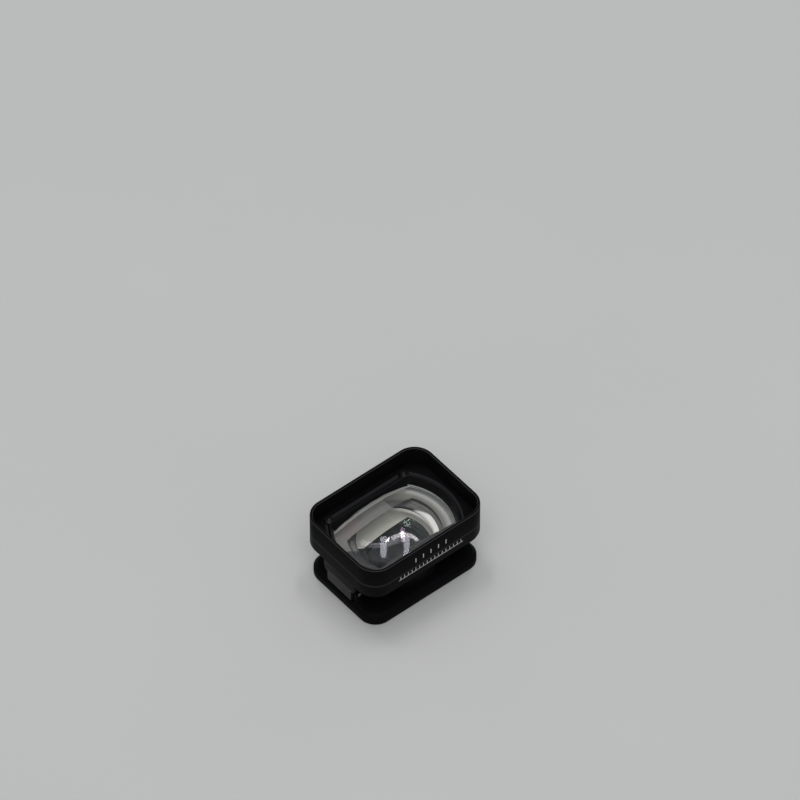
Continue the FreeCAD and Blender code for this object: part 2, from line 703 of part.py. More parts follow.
def make_barrel():
    body = new_body("barrel")
    sketch = new_sketch(body, "barrel_outline", frame_top)
    draw_circle(sketch, barrel_radius)
    pad(body, sketch, "barrel_tube", boss_foot - frame_top)
    sketch = new_sketch(body, "flange_outline", boss_foot - size["flange_height"])
    draw_truncated(sketch, flange_radius, flange_flat)
    pad(body, sketch, "flange", size["flange_height"])
    sketch = new_sketch(body, "block_outline", frame_top)
    draw_centred(sketch, block_half_length, block_half_width, size["block_corner"])
    pad(body, sketch, "screw_block", size["block_height"])
    sketch = new_sketch(body, "tail_outline", tail_end)
    draw_circle(sketch, tail_radius)
    pad(body, sketch, "tail", frame_top - tail_end)
    sketch = new_sketch(body, "baffle_outline", boss_foot)
    draw_circle(sketch, baffle_seat)
    pocket(body, sketch, "baffle_recess", size["baffle_thick"])
    sketch = new_sketch(body, "middle_outline", baffle_foot)
    draw_circle(sketch, middle_radius + size["glass_fit"])
    pocket(body, sketch, "middle_bore", baffle_foot - middle_foot)
    sketch = new_sketch(body, "web_outline", middle_foot)
    draw_circle(sketch, web_opening)
    pocket(body, sketch, "web_hole")
    sketch = new_sketch(body, "rear_outline", web_foot)
    draw_circle(sketch, rear_radius + size["glass_fit"])
    pocket(body, sketch, "rear_bore")
    sketch = new_sketch(body, "tap_outlines_rear", frame_screw_end() + size["tap_spare"])
    for along, across in CORNERS:
        draw_circle(sketch, frame_hole, frame_screw_along * along, frame_screw_across * across)
    pocket(body, sketch, "frame_taps", frame_screw_end() + size["tap_spare"] - frame_top)
    finish(body, "rear_barrel")


def frame_screw_end():
    return socket_floor + size["frame_screw_length"]


def make_middle_pair():
    radius = middle_radius
    cement_centre = cement_edge + root(size["middle_cement"] * size["middle_cement"] - radius * radius)
    crown_blank = cylinder("crown_blank", radius, middle_foot, crown_apex)
    crown_bow = sphere("crown_bow", size["middle_bow"], crown_apex - size["middle_bow"])
    crown_belly = sphere("crown_belly", size["middle_cement"], cement_centre)
    finish(common("crown", [crown_blank, crown_bow, crown_belly]), "middle_crown")
    flint_blank = cylinder("flint_blank", radius, middle_foot, cement_edge)
    flint_hollow = sphere("flint_hollow", size["middle_cement"], cement_centre)
    finish(cut("flint", flint_blank, [flint_hollow]), "middle_flint")


def notched_ring(name, radius, opening, z_low, z_high, notch_low, notch_high):
    """Retaining ring with two spanner notches across its face."""
    outside = cylinder(name + "_outside", radius, z_low, z_high)
    inside = cylinder(name + "_inside", opening, z_low, z_high)
    half = size["notch_width"] / 2
    notches = box(name + "_notches", -radius, radius, -half, half, notch_low, notch_high)
    return cut(name + "_ring", outside, [inside, notches])


def make_rings():
    ring_top = middle_ring_foot + size["middle_ring_height"]
    ring = notched_ring("middle", middle_radius, ring_opening, middle_ring_foot, ring_top,
                        ring_top - size["notch_depth"], ring_top)
    finish(ring, "middle_retaining_ring")
    ring = notched_ring("rear", rear_radius, rear_radius - size["rear_ring_width"],
                        tail_end, rear_foot, tail_end, tail_end + size["notch_depth"])
    finish(ring, "rear_retaining_ring")
    disc = cylinder("baffle_disc", baffle_radius, baffle_foot, boss_foot)
    hole = cone("baffle_hole", baffle_opening, baffle_opening + size["baffle_thick"],
                baffle_foot, boss_foot)
    finish(cut("baffle", disc, [hole]), "light_baffle")
    disc = cylinder("stop_disc", rear_radius, rear_top, web_foot)
    hole = cylinder("stop_hole", stop_opening, rear_top, web_foot)
    finish(cut("stop", disc, [hole]), "aperture_stop")


def make_rear_element():
    radius = rear_radius
    blank = cylinder("rear_blank", radius, rear_foot, rear_top)
    front_centre = rear_top + root(size["rear_front_hollow"] * size["rear_front_hollow"] - radius * radius)
    clear = radius - size["rear_ring_width"]
    back_centre = rear_foot - root(size["rear_back_hollow"] * size["rear_back_hollow"] - clear * clear)
    front = sphere("rear_front_curve", size["rear_front_hollow"], front_centre)
    back = sphere("rear_back_curve", size["rear_back_hollow"], back_centre)
    finish(cut("rear_lens", blank, [front, back]), "rear_element")


# Clip frame, its screws and its seat pad

def make_frame():
    body = new_body("frame")
    sketch = new_sketch(body, "frame_outline")
    draw_centred(sketch, frame_half_length, frame_half_width, frame_corner)
    pad(body, sketch, "frame_block", frame_top)
    chamfer(body, "frame_front_edge", size["frame_chamfer"],
            lambda edge, middle: flat_at(edge, frame_top))
    chamfer(body, "frame_rear_edge", size["frame_foot_chamfer"],
            lambda edge, middle: flat_at(edge, ZERO))
    sketch = new_sketch(body, "socket_outline", socket_floor)
    draw_centred(sketch, socket_half_length, socket_half_width, size["socket_corner"])
    pocket(body, sketch, "socket")
    sketch = new_sketch(body, "frame_openings", frame_top)
    draw_circle(sketch, tail_radius + size["tail_fit"])
    for along, across in CORNERS:
        draw_circle(sketch, frame_hole, frame_screw_along * along, frame_screw_across * across)
    for side, sign in SIDES:
        draw_circle(sketch, size["spring_screw_radius"] + size["screw_fit"],
                    spring_screw_along * sign, ZERO)
    pocket(body, sketch, "frame_holes")
    chamfer(body, "countersinks", size["frame_head_radius"] - size["frame_screw_radius"],
            lambda edge, middle: flat_at(edge, socket_floor) and edge.isClosed()
            and on_screw_circle(edge))
    sketch = new_sketch(body, "slot_outlines", frame_top)
    for side, sign in SIDES:
        near = (arm_in - size["slot_back"]) * sign
        far = (arm_out + size["slot_run"]) * sign
        draw_rectangle(sketch, near, far, -slot_half, slot_half)
    pocket(body, sketch, "lever_slots")
    for name, offset in (("ears_back", -ear_outside), ("ears_front", slot_half)):
        sketch = new_sketch(body, name + "_feet", offset, "XZ_Plane")
        for side, sign in SIDES:
            pivot = pivot_along
            root_height = frame_top - size["ear_root"]
            draw_polygon(sketch, [((pivot - size["ear_foot_in"]) * sign, root_height),
                                  ((pivot + size["ear_foot_out"]) * sign, root_height),
                                  ((pivot + size["ear_radius"]) * sign, pivot_height),
                                  ((pivot - size["ear_radius"]) * sign, pivot_height)])
        pad(body, sketch, name + "_webs", size["ear_thick"])
        sketch = new_sketch(body, name + "_tops", offset, "XZ_Plane")
        for side, sign in SIDES:
            draw_circle(sketch, size["ear_radius"], pivot_along * sign, pivot_height)
        pad(body, sketch, name + "_rounds", size["ear_thick"])
    sketch = new_sketch(body, "pin_holes", ZERO, "XZ_Plane")
    for side, sign in SIDES:
        draw_circle(sketch, size["pin_radius"] + size["pin_fit"], pivot_along * sign, pivot_height)
    pocket(body, sketch, "pin_bores", both_ways=True)
    finish(body, "clip_frame")


def make_frame_screws():
    screws = []
    sink = size["frame_head_radius"] - size["frame_screw_radius"]
    for index, (along, across) in enumerate(CORNERS, start=1):
        name = "frame_screw_%d" % index
        x = frame_screw_along * along
        y = frame_screw_across * across
        head = cone(name + "_head", size["frame_head_radius"], size["frame_screw_radius"],
                    socket_floor, socket_floor + sink, x, y)
        shank = cylinder(name + "_shank", size["frame_screw_radius"], socket_floor, frame_screw_end(), x, y)
        recess = cross_recess(name, x, y, socket_floor, socket_floor + size["recess_depth"],
                              size["frame_head_radius"] - size["recess_rim_large"])
        screws.append(cut(name, fuse(name + "_blank", [head, shank]), recess))
    finish(group("frame_screw_set", screws), "frame_screws")


def make_seat_pad():
    body = new_body("pad")
    sketch = new_sketch(body, "pad_outline", socket_floor - size["pad_thick"])
    margin = size["pad_margin"]
    draw_centred(sketch, socket_half_length - margin, socket_half_width - margin,
                 size["socket_corner"] - margin)
    draw_circle(sketch, tail_radius + size["pad_gap"])
    for along, across in CORNERS:
        draw_circle(sketch, size["frame_head_radius"] + size["pad_gap"],
                    frame_screw_along * along, frame_screw_across * across)
    pad(body, sketch, "pad_sheet", size["pad_thick"])
    finish(body, "seat_pad")


# Sprung levers that grip the camera from both ends

def make_lever(side, sign):
    body = new_body("lever_" + side)
    width = size["lever_width"]
    pivot = pivot_along * sign
    foot = size["arm_lift"]
    hook_tip = arm_in - size["hook_reach"]
    hook_top = foot + size["hook_height"]
    hook_middle = foot + size["hook_height"] / 2
    sketch = new_sketch(body, "spine_outline_" + side, ZERO, "XZ_Plane")
    draw_polygon(sketch, [(grip_in * sign, grip_top), (grip_out * sign, grip_top),
                          (grip_out * sign, heel),
                          (arm_out * sign, heel - size["heel_drop"]),
                          (arm_out * sign, foot), (arm_in * sign, foot),
                          (hook_tip * sign, hook_middle - size["hook_nose"]),
                          (hook_tip * sign, hook_middle + size["hook_nose"]),
                          (arm_in * sign, hook_top), (arm_in * sign, pivot_height),
                          (grip_in * sign, shoulder)])
    pad(body, sketch, "spine_" + side, width, both_ways=True)
    sketch = new_sketch(body, "hub_outline_" + side, ZERO, "XZ_Plane")
    draw_circle(sketch, size["hub_radius"], pivot, pivot_height)
    pad(body, sketch, "hub_" + side, width, both_ways=True)
    near = grip_in if sign > 0 else -grip_out
    sketch = new_sketch(body, "grip_outline_" + side, near, "YZ_Plane")
    draw_rounded(sketch, -size["grip_width"] / 2, size["grip_width"] / 2,
                 grip_foot, grip_top, size["grip_corner"])
    pad(body, sketch, "grip_" + side, size["grip_thick"])
    sketch = new_sketch(body, "pin_hole_" + side, ZERO, "XZ_Plane")
    draw_circle(sketch, size["pin_radius"] + size["pin_run"], pivot, pivot_height)
    pocket(body, sketch, "pin_bore_" + side, both_ways=True)
    sketch = new_sketch(body, "groove_outlines_" + side, ZERO, "XZ_Plane")
    room = grip_top.value - grip_foot.value - size["groove_first"].value
    count = int((room - size["groove_height"].value) / size["groove_pitch"].value) + 1
    for index in range(count):
        low = grip_foot + size["groove_first"] + size["groove_pitch"] * index
        inner = (grip_out - size["groove_depth"]) * sign
        outer = (grip_out + size["groove_depth"]) * sign
        draw_rectangle(sketch, inner, outer, low, low + size["groove_height"])
    pocket(body, sketch, "grooves_" + side, both_ways=True)
    finish(body, "clip_lever_" + side)


def make_hinge_pin(side, sign):
    pin = doc.addObject("Part::Cylinder", "pin_" + side)
    pin.Placement = FreeCAD.Placement(FreeCAD.Vector(), FreeCAD.Rotation(FreeCAD.Vector(1, 0, 0), -90))
    bind(pin, {"Radius": size["pin_radius"], "Height": ear_outside * 2})
    place(pin, pivot_along * sign, -ear_outside, pivot_height)
    finish(pin, "hinge_pin_" + side)


def make_leaf_spring(side, sign):
    """Foot on the frame, a riser, and a tip that pushes the finger pad out."""
    body = new_body("spring_" + side)
    thick = size["spring_thick"]
    foot_top = frame_top + thick
    tip_along = grip_in - size["spring_touch"]
    sketch = new_sketch(body, "spring_outline_" + side, ZERO, "XZ_Plane")
    draw_polygon(sketch, [(spring_foot_start * sign, frame_top),
                          ((spring_bend + thick) * sign, frame_top),
                          ((spring_knee + thick) * sign, spring_knee_height - thick / 2),
                          (tip_along * sign, spring_tip_height - thick),
                          (tip_along * sign, spring_tip_height),
                          (spring_knee * sign, spring_knee_height + thick / 2),
                          (spring_bend * sign, foot_top),
                          (spring_foot_start * sign, foot_top)])
    pad(body, sketch, "spring_strip_" + side, size["spring_width"], both_ways=True)
    sketch = new_sketch(body, "spring_hole_outline_" + side, foot_top)
    draw_circle(sketch, size["spring_screw_radius"] + size["screw_fit"], spring_screw_along * sign, ZERO)
    pocket(body, sketch, "spring_hole_" + side, thick)
    finish(body, "leaf_spring_" + side)


def make_spring_screws():
    screws = []
    head_foot = frame_top + size["spring_thick"]
    head_top = head_foot + size["spring_head_height"]
    for side, sign in SIDES:
        name = "spring_screw_" + side
        x = spring_screw_along * sign
        head = cylinder(name + "_head", size["spring_head_radius"], head_foot, head_top, x)
        shank = cylinder(name + "_shank", size["spring_screw_radius"],
                         head_foot - size["spring_screw_length"], head_foot, x)
        screws.append(fuse(name, [head, shank]))
    finish(group("spring_screw_set", screws), "spring_screws")


make_hood()
make_retaining_plate()
make_plate_screws()
make_front_element()
make_gasket()
make_barrel()
make_middle_pair()
make_rings()
make_rear_element()
make_frame()
make_frame_screws()
make_seat_pad()
for side, sign in SIDES:
    make_lever(side, sign)
    make_hinge_pin(side, sign)
    make_leaf_spring(side, sign)
make_spring_screws()
doc.recompute()

# Every object and shape is checked before a file is written
for item in doc.Objects:
    if "Invalid" in item.State or "Error" in item.State:
        raise ValueError(item.Name + " is " + ", ".join(item.State))
for piece in pieces:
    if piece.Shape.isNull() or not piece.Shape.isValid():
        raise ValueError(piece.Label + " has no valid shape")
for piece in pieces:
    piece.Shape.exportStep("parts/" + piece.Label + ".step")
    print(piece.Label, len(piece.Shape.Solids), round(piece.Shape.Volume, 3))
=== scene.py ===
"""Clip-on telephoto lens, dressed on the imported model.

All lengths in this file are written in millimetres and turned into metres by MM.
Z is the optical axis and points at the subject, X runs along the long side of the hood.
"""
import math

import bpy
from mathutils import Matrix, Vector


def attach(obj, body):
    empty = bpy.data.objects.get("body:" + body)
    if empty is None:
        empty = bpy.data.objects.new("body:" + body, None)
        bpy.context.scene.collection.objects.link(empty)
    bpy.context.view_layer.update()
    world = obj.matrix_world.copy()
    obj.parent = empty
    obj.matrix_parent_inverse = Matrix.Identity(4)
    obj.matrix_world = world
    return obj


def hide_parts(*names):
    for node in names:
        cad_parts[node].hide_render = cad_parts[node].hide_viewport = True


MM = 0.001

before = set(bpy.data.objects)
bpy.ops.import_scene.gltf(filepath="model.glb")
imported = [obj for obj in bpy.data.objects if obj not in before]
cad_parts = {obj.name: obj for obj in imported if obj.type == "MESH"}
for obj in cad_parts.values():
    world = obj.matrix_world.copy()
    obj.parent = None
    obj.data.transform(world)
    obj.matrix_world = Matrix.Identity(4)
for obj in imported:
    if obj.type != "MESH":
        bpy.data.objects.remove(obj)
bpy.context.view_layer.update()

# Sizes of the lens, as in its construction
HOOD_LENGTH = 28.0
HOOD_WIDTH = 20.8
HOOD_CORNER = 4.1
HOOD_WALL = 0.55
HOOD_REAR = 8.55
HOOD_FLOOR = 11.9
FRONT_RIM = 16.0
SEAT_RADIUS = 12.35
SEAT_FLAT = 8.35
SEAT_CHAMFER = 0.45
SEAT_FOOT = 9.82
LOBE_RADIUS = 1.05
LOBE_ALONG = 8.9
LOBE_ACROSS = 8.3
BORE_RADIUS = 11.55
BORE_FLAT = 6.95
BORE_FOOT = 6.85
MASK_RADIUS = 8.2
MASK_FLAT = 5.0
BOSS_RADIUS = 11.95
BOSS_FLAT = 8.0
BOSS_FOOT = 6.2
GLASS_RADIUS = 11.5
GLASS_FLAT = 6.9
GLASS_APEX = 12.63
GLASS_FOOT = 6.95
GLASS_BOW = 24.0
GLASS_HOLLOW = 60.0
GLASS_CLEAR = 9.2
MIDDLE_RADIUS = 7.2
MIDDLE_BOW = 24.0
MIDDLE_APEX = 6.406
MIDDLE_CEMENT = 30.0
CEMENT_EDGE = 4.9
CEMENT_GAP = 0.01
MIDDLE_FOOT = 3.4
REAR_RADIUS = 5.2
REAR_TOP = 3.05
REAR_FOOT = 1.5
REAR_FRONT_HOLLOW = 18.0
REAR_BACK_HOLLOW = 40.0
REAR_CLEAR = 4.4
CORNERS = [(1, 1), (-1, 1), (-1, -1), (1, -1)]

# Widths of broken edges
RIM_BREAK = 0.13
REAR_BREAK = 0.4
GLASS_BREAK = 0.14
GLASS_BREAK_DROP = 0.06

# Margins by which a test of a place clears the face that it is meant for
HAIR = 0.01
SKIN = 0.02
EDGE_MARGIN = 0.05

# How deep the front rim's painted highlight reaches, and how deep below the boss's foot two tests of
# height stand
RIM_HIGHLIGHT = 0.11
FACE_DEPTH = 0.03
BAFFLE_DEPTH = 0.04

# From this radius outwards a face of the front element belongs to its round ends
ROUND_END = GLASS_RADIUS - 0.2

# How fast one shade passes into the next, in parts of it per millimetre
SHARP_PASS = 2.5
BRIGHT_PASS = 1.2
EVEN_PASS = 0.8
SOFT_PASS = 0.4

# The way the photograph looks, seen from above, and where along it each group of faces starts to carry
# painted light; short of that place it carries painted shade
LOOK_ALONG = 0.637
LOOK_ACROSS = 0.77
LIT_REAR = -3.6
LIT_MASK = -2.6
LIT_FOOT = -0.1

# Outside a truncated circle the rear faces of the front element and of the middle pair show ground
GROUND_RADIUS = 8.3
GROUND_FLAT = 4.2
FOOT_CLEAR = 5.65
FOOT_FLAT = 2.95

# The bands on the front element's ground ends start at a radius and fill a span outwards
RINGS_FROM = 6.7
RINGS_SPAN = 7.6

# A panel on the ground rear face: where it starts and ends along it, and how far out it turns rosy
PANEL_FROM = -7.3
PANEL_TO = 2.9
PANEL_ROSY = 3.0

# Where the left end of the ground rear face evens out, and how far up the flat sides show brighter
EVEN_END = 6.0
BRIGHT_FOOT = 3.2

# The painted light grey on the lit side of the black mask's rim and the faces round it, and how far past
# the opening they show it
MASK_PAINTED_LIGHT = (0.075, 0.074, 0.069)
MASK_RIM_REACH = 0.5
MASK_FACE_REACH = 0.6
MASK_REACH_ACROSS = 1.2

# Radius past which the baffle's painted light grey brightens, and the slanting line within which its right
# end carries a painted white highlight
BAFFLE_INNER = 6.8
BAFFLE_HIGHLIGHT = 7.7
BAFFLE_SLANT = 0.45

# Where the painted white highlight on inner edges and on the baffle starts, and where the middle pair's
# rear rim darkens, then shows a painted white highlight at its edge
HIGHLIGHT_FROM = 4.0
FOOT_DARKENS = 3.0
FOOT_WHITENS = 3.5
FOOT_EDGE = 6.3

# Thin pale line on the plate's inner wall at the glass, between two radii and up to a height
LINE_INNER = 11.2
LINE_OUTER = 11.4
LINE_HEIGHT = 0.3

# Arc on the rear element that mirrors more: its centre and its inner and outer radius
GLOSS_ALONG = 1.17
GLOSS_ACROSS = -0.34
GLOSS_INNER = 1.8
GLOSS_OUTER = 2.88

# Marks of the index scale: pitch, half width, reach to both sides, foot and top
FINE_MARKS = (0.9, 0.075, 7.7, 10.6, 11.35)
COARSE_MARKS = (1.8, 0.1, 4.6, 12.85, 13.95)

# Line under the marks: reach to both sides, foot and top
BASE_LINE = (7.65, 10.45, 10.6)

# How finely round forms are divided
TURN_STEPS = 192
CURVE_POINTS = 18
LOBE_SIDES = 48
CORNER_SEGMENTS = 20

# Angles in degrees past which an edge stays sharp
SHARP_ANGLE = 38
HOOD_SHARP_ANGLE = 30
GLASS_SHARP_ANGLE = 20

# Closer than these, two places count as one place, and doubles are merged
CLOSE = 0.004
MERGE = 0.0005

# How far a joined or cutting shape reaches past the face that it meets, and how far past a thin wall
PAST = 0.3
PAST_THIN = 0.1


# Materials

class Value:
    """A number that changes over a surface. Sums of it add the nodes that work them out."""

    def __init__(self, finish, socket):
        self.finish = finish
        self.socket = socket

    def math(self, operation, *terms):
        return self.finish.node("ShaderNodeMath", {"operation": operation}, dict(enumerate(terms)))

    def __add__(self, other):
        return self.math("ADD", self, other)

    __radd__ = __add__

    def __sub__(self, other):
        return self.math("SUBTRACT", self, other)

    def __rsub__(self, other):
        return self.math("SUBTRACT", other, self)

    def __mul__(self, other):
        return self.math("MULTIPLY", self, other)

    __rmul__ = __mul__

    def above(self, limit):
        return self.math("GREATER_THAN", self, limit)

    def below(self, limit):
        return self.math("LESS_THAN", self, limit)

    def size(self):
        return self.math("ABSOLUTE", self)

    def sign(self):
        return self.math("SIGN", self)

    def root(self):
        return self.math("SQRT", self)

    def repeat(self, pitch):
        """Distance to the nearest multiple of a pitch."""
        return self.math("PINGPONG", self, pitch / 2)

    def within(self, low, high):
        return self.above(low) * self.below(high)


class Finish:
    """One material, built node by node."""

    def __init__(self, name):
        self.material = bpy.data.materials.new(name)
        self.material.use_nodes = True
        self.tree = self.material.node_tree
        self.tree.nodes.clear()
        self.place = self.node("ShaderNodeTexCoord", output="Object")

    def node(self, kind, settings=None, inputs=None, output=0):
        made = self.tree.nodes.new(kind)
        for name, value in (settings or {}).items():
            if name == "stops":
                self.set_stops(made.color_ramp, value)
            else:
                setattr(made, name, value)
        for name, value in (inputs or {}).items():
            if isinstance(value, Value):
                self.tree.links.new(value.socket, made.inputs[name])
            else:
                made.inputs[name].default_value = value
        return Value(self, made.outputs[output])

    def set_stops(self, ramp, stops):
        while len(ramp.elements) < len(stops):
            ramp.elements.new(1.0)
        for element, (position, colour) in zip(ramp.elements, stops):
            element.position = position
            element.color = (*colour, 1.0)

    def axes(self):
        """The three coordinates on the object, in millimetres."""
        parts = self.node("ShaderNodeSeparateXYZ", {}, {0: self.place})
        split = parts.socket.node
        return [Value(self, split.outputs[index]) * (1 / MM) for index in range(3)]

    def painted_lit_side(self, start):
        """The side painted as lit: the part that lies beyond a place along the way the photograph looks.
        """
        along, across, _ = self.axes()
        return (along * LOOK_ALONG + across * LOOK_ACROSS).above(start)

    def noise(self, grain, detail=3.0):
        """Soft noise whose grain is given in millimetres."""
        return self.node("ShaderNodeTexNoise", {}, {"Vector": self.place, "Scale": 1 / (grain * MM),
                                                    "Detail": detail})

    def blend(self, factor, low, high):
        """Colour between two, each a colour or the result of another blend."""
        inputs = {0: factor}
        for index, colour in ((6, low), (7, high)):
            inputs[index] = colour if isinstance(colour, Value) else (*colour, 1.0)
        return self.node("ShaderNodeMix", {"data_type": "RGBA"}, inputs, output=2)

    def bump(self, height, depth, strength):
        """Normal from a height of 0 to 1 that stands for a depth in millimetres."""
        return self.node("ShaderNodeBump", {}, {"Height": height, "Distance": depth * MM,
                                                "Strength": strength})

    def surface(self, **sockets):
        """The main shader. Names of its sockets are written with underscores for spaces."""
        inputs = {name.replace("_", " "): value for name, value in sockets.items()}
        base = inputs.get("Base Color")
        if isinstance(base, tuple):
            inputs["Base Color"] = (*base, 1.0)
        return self.node("ShaderNodeBsdfPrincipled", {}, inputs)

    def finish(self, shader):
        out = self.tree.nodes.new("ShaderNodeOutputMaterial")
        self.tree.links.new(shader.socket, out.inputs["Surface"])
        return self.material


def radius_of(along, across):
    """Distance, seen from above, from the place where both are 0."""
    return (along * along + across * across).root()


def scale_marks(along, height, pitch, half_width, reach, foot, top):
    """Upright marks of a scale on a wall."""
    return along.repeat(pitch).below(half_width) * along.size().below(reach) * height.within(foot, top)


def blasted_black(name, is_hood):
    """Fine-blasted black anodising. On the hood the seat's chamfer and the front rim carry painted
    highlights, the mask's rim a painted light grey on its lit side, and the front wall an index scale.
    """
    made = Finish(name)
    along, across, height = made.axes()
    cloud = made.noise(2.6)
    grain = made.noise(0.09, 2.0)
    colour = made.blend(cloud, (0.0036, 0.0037, 0.0042), (0.006, 0.0061, 0.0068))
    rough = 0.4 + cloud * 0.12
    if is_hood:
        # Painted highlight: the seat's chamfer is painted paler.
        seat_highlight = height.within(HOOD_FLOOR - SEAT_CHAMFER + SKIN, HOOD_FLOOR - SKIN)
        colour = made.blend(seat_highlight, colour, (0.026, 0.026, 0.029))
        # Painted light: the black mask's rim is painted grey on its lit side.
        lit_mask_rim = height.within(BOSS_FOOT + HAIR, BORE_FOOT + SKIN)
        lit_mask_rim = lit_mask_rim * radius_of(along, across).below(MASK_RADIUS + MASK_RIM_REACH)
        lit_mask_rim = lit_mask_rim * across.size().below(MASK_FLAT + MASK_REACH_ACROSS)
        colour = made.blend(lit_mask_rim * made.painted_lit_side(LIT_MASK), colour, MASK_PAINTED_LIGHT)
        # Painted highlight: the top edge of the front rim is painted paler.
        rim_highlight = height.within(FRONT_RIM - RIM_HIGHLIGHT, FRONT_RIM - HAIR)
        colour = made.blend(rim_highlight, colour, (0.05, 0.047, 0.046))
        front_wall = across.below(-HOOD_WIDTH / 2 + SKIN)
        reach, foot, top = BASE_LINE
        scale = along.size().below(reach) * height.within(foot, top)
        for row in (FINE_MARKS, COARSE_MARKS):
            scale = scale + scale_marks(along, height, *row)
        printed = front_wall * scale.above(0.5)
        worn = printed * (0.82 + 0.3 * made.noise(0.3))
        colour = made.blend(worn, colour, (0.66, 0.66, 0.64))
        rough = rough + printed * 0.12
    normal = made.bump(grain, 0.006, 0.55)
    return made.finish(made.surface(Base_Color=colour, Roughness=rough, Normal=normal,
                                    Specular_IOR_Level=0.02))


def satin_black(name, shade, ring_pitch):
    """Black anodising with fine rings round the axis, and painted light grey on the lit side of the
    barrel's face that the mask lets show.

    A thin pale line stands on the retaining plate's inner wall, where it meets the glass.
    """
    made = Finish(name)
    along, across, height = made.axes()
    radius = radius_of(along, across)
    rings = radius.repeat(ring_pitch) * (2 / ring_pitch)
    cloud = made.noise(1.4)
    colour = made.blend(cloud, (shade, shade, shade * 1.1), (shade * 1.7, shade * 1.7, shade * 1.85))
    # Painted light: the black barrel face is painted grey on its lit side, where the mask lets it show.
    lit_mating_face = height.within(BOSS_FOOT - FACE_DEPTH, BOSS_FOOT + HAIR) * made.painted_lit_side(LIT_MASK)
    lit_mating_face = lit_mating_face * radius.below(MASK_RADIUS + MASK_FACE_REACH)
    lit_mating_face = lit_mating_face * across.size().below(MASK_FLAT + MASK_REACH_ACROSS)
    colour = made.blend(lit_mating_face, colour, MASK_PAINTED_LIGHT)
    glass_line = height.within(SEAT_FOOT - HAIR, SEAT_FOOT + LINE_HEIGHT)
    glass_line = glass_line * radius.within(LINE_INNER, LINE_OUTER)
    colour = made.blend(glass_line, colour, (0.6, 0.61, 0.6))
    rough = 0.3 + cloud * 0.14
    normal = made.bump(rings * 0.5 + made.noise(0.12, 2.0) * 0.5, 0.003, 0.5)
    return made.finish(made.surface(Base_Color=colour, Roughness=rough, Normal=normal,
                                    Specular_IOR_Level=0.18))


def matt_black(name, shade, grain, depth):
    """Flat black paint or soft rubber, with a rough grain."""
    made = Finish(name)
    cloud = made.noise(1.1)
    colour = made.blend(cloud, (shade * 0.7,) * 3, (shade * 1.3,) * 3)
    normal = made.bump(made.noise(grain, 4.0), depth, 0.7)
    rough = 0.72 + cloud * 0.16
    return made.finish(made.surface(Base_Color=colour, Roughness=rough, Normal=normal,
                                    Specular_IOR_Level=0.2))


def baffle_painted_light(name):
    """Front faces of the light baffle and the middle pair's ring, painted grey as light, with a painted
    white highlight at the right end.

    Lower faces and the near side are painted dark as shade.
    """
    made = Finish(name)
    along, across, height = made.axes()
    radius = radius_of(along, across)
    # Painted light: the black front faces are painted grey, brighter outwards.
    outer = (radius - BAFFLE_INNER) * SHARP_PASS
    face = made.blend(outer, (0.06, 0.058, 0.06), MASK_PAINTED_LIGHT)
    # Painted shade: the lower faces and the near side are painted near black.
    dark = height.below(BOSS_FOOT - BAFFLE_DEPTH) + (1.0 - made.painted_lit_side(LIT_MASK))
    face = made.blend(dark, face, (0.012, 0.012, 0.012))
    # Painted highlight: the right end is painted white within a slanting line.
    highlight_end = (BAFFLE_HIGHLIGHT - radius - across * BAFFLE_SLANT) * SHARP_PASS
    face = made.blend(highlight_end * along.above(HIGHLIGHT_FROM), face, (0.5, 0.495, 0.485))
    return made.finish(made.surface(Base_Color=face, Roughness=0.5, Specular_IOR_Level=0.3))


def steel(name, shade, grain):
    """Bare turned or rolled steel with fine marks and a little oil staining."""
    made = Finish(name)
    cloud = made.noise(0.7)
    marks = made.noise(grain, 2.0)
    colour = made.blend(cloud, (shade * 0.82, shade * 0.82, shade * 0.84), (shade, shade, shade * 1.01))
    rough = 0.22 + marks * 0.18
    normal = made.bump(marks, 0.002, 0.6)
    return made.finish(made.surface(Base_Color=colour, Metallic=0.95, Roughness=rough, Normal=normal))


def polished_glass(name, tint, coating, index_of_glass, lights_what_is_under, bright_arc=False):
    """Coated or cemented glass. Where its shadow is clear, what lies under it is lit.

    An arc of it can carry a glossy coat that mirrors more.
    """
    made = Finish(name)
    smudge = made.noise(4.0)
    gloss = 0.0
    if bright_arc:
        along, across, _ = made.axes()
        radius = radius_of(along - GLOSS_ALONG, across - GLOSS_ACROSS)
        gloss = (radius - GLOSS_INNER) * radius.below(GLOSS_OUTER)
    glass = made.surface(Base_Color=tint, Roughness=0.004 + smudge * 0.006, IOR=index_of_glass,
                         Transmission_Weight=1.0, Specular_Tint=(*coating, 1.0),
                         Coat_Weight=gloss, Coat_IOR=2.2, Coat_Roughness=0.05)
    if not lights_what_is_under:
        return made.finish(glass)
    clear = made.node("ShaderNodeBsdfTransparent", {}, {"Color": (*tint, 1.0)})
    shadow = made.node("ShaderNodeLightPath", output="Is Shadow Ray")
    return made.finish(made.node("ShaderNodeMixShader", {}, {0: shadow, 1: glass, 2: clear}))


